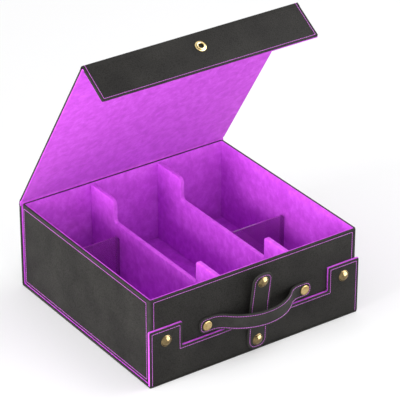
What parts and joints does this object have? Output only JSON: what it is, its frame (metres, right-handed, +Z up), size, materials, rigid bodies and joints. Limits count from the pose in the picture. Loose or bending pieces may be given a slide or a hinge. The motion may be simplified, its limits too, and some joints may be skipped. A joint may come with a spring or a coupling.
{
  "type": "carrying case",
  "caption": "Square leather-covered carrying case with a hinged lid, a snap-strap closure, a bowed front handle and a three-row tray with clear movable plates.",
  "frame": {"origin": "middle of the base's underside, on the floor", "axes": "+Z up, the front with the handle and strap looks along -Y, +X to the right seen from the front"},
  "size_m": [0.2908, 0.2997, 0.3474],
  "materials": {
    "leather": "fine-grained black leather, satin",
    "lining": "short-nap purple lining, matte",
    "greyboard": "raw grey board, hidden",
    "brass": "polished brass",
    "clear_acrylic": "clear polished acrylic"
  },
  "bodies": {
    "case": {"apron_board": "greyboard", "apron_corner_studs": "brass", "apron_leather": "leather", "apron_lining": "lining", "back_board": "greyboard", "back_hinge_strip": "leather", "back_leather": "leather", "back_lining": "lining", "base_board": "greyboard", "base_leather": "leather", "base_lining": "lining", "closure_strap": "leather", "floor_board": "greyboard", "floor_lining": "lining", "front_wall_board": "greyboard", "front_wall_leather": "leather", "front_wall_lining": "lining", "front_wall_washers": "brass", "handle_ends": "leather", "handle_rivets": "brass", "left_divider_board": "greyboard", "left_divider_lining": "lining", "left_wall_board": "greyboard", "left_wall_leather": "leather", "left_wall_lining": "lining", "rear_wall_board": "greyboard", "rear_wall_leather": "leather", "rear_wall_lining": "lining", "right_divider_board": "greyboard", "right_divider_lining": "lining", "right_wall_board": "greyboard", "right_wall_leather": "leather", "right_wall_lining": "lining", "strap_rivet": "brass", "strap_rivet_washer": "brass"},
    "lid": {"lid_leather": "leather", "lid_board": "greyboard", "lid_lining": "lining", "lid_hinge_strip": "leather", "lid_fold_strip": "leather"},
    "flap": {"flap_leather": "leather", "flap_board": "greyboard", "flap_lining": "lining", "flap_fold_strip": "leather", "flap_snap_socket": "brass", "flap_snap_back": "brass"},
    "tab": {"closure_tab": "leather", "snap_cap": "brass", "snap_stud": "brass"},
    "handle": {"handle_loop": "leather"},
    "left_plate": {"left_plate": "clear_acrylic"},
    "right_plate": {"right_plate": "clear_acrylic"}
  },
  "joints": [
    {"name": "lid_hinge", "type": "hinge", "parent": "case", "child": "lid", "pos_m": [0, 0.1357, 0.1131], "axis": [-1, 0, 0], "range_deg": [-58, 122]},
    {"name": "flap_fold", "type": "hinge", "parent": "lid", "child": "flap", "pos_m": [0, -0.01013, 0.34648], "axis": [-1, 0, 0], "range_deg": [0, 90]},
    {"name": "tab_bend", "type": "hinge", "parent": "case", "child": "tab", "pos_m": [0, -0.14293, 0.0637], "axis": [1, 0, 0], "range_deg": [-5.2, 45]},
    {"name": "handle_tilt", "type": "hinge", "parent": "case", "child": "handle", "pos_m": [0, -0.14244, 0.0555], "axis": [-1, 0, 0], "range_deg": [-45, 15]},
    {"name": "left_plate_slide", "type": "slide", "parent": "case", "child": "left_plate", "axis": [0, 1, 0], "range_m": [-0.1955, 0.056]},
    {"name": "right_plate_slide", "type": "slide", "parent": "case", "child": "right_plate", "axis": [0, 1, 0], "range_m": [-0.127, 0.1245]}
  ]
}
